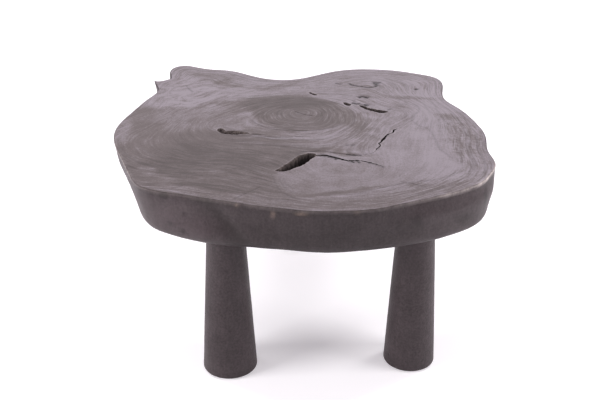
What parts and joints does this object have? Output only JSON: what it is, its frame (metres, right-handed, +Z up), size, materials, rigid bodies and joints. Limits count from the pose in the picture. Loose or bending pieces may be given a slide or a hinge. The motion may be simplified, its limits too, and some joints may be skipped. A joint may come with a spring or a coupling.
{
  "type": "live edge coffee table",
  "caption": "Low table: a thick slab sawn across a forked trunk, with its natural outline, holes and cracks, on turned legs that widen towards the floor.",
  "frame": {"origin": "on the floor, under the middle of the slab's bounding box", "axes": "+Z up, -Y towards the front, where two legs stand, +X to the right seen from the front"},
  "size_m": [0.8182, 0.8406, 0.43],
  "materials": {
    "slab_wood": "dark stain, waxed satin",
    "leg_wood": "dark stain, waxed satin",
    "steel": "zinc plated",
    "rubber": "moulded, matt"
  },
  "bodies": {
    "root": {"slab_top": "slab_wood", "leg_front_left": "leg_wood", "floor_glide_front_left": "rubber", "hanger_bolt_front_left": "steel", "leg_plate_front_left": "steel", "plate_screws_front_left": "steel", "leg_front_right": "leg_wood", "floor_glide_front_right": "rubber", "hanger_bolt_front_right": "steel", "leg_plate_front_right": "steel", "plate_screws_front_right": "steel", "leg_rear": "leg_wood", "floor_glide_rear": "rubber", "hanger_bolt_rear": "steel", "leg_plate_rear": "steel", "plate_screws_rear": "steel"}
  },
  "joints": []
}
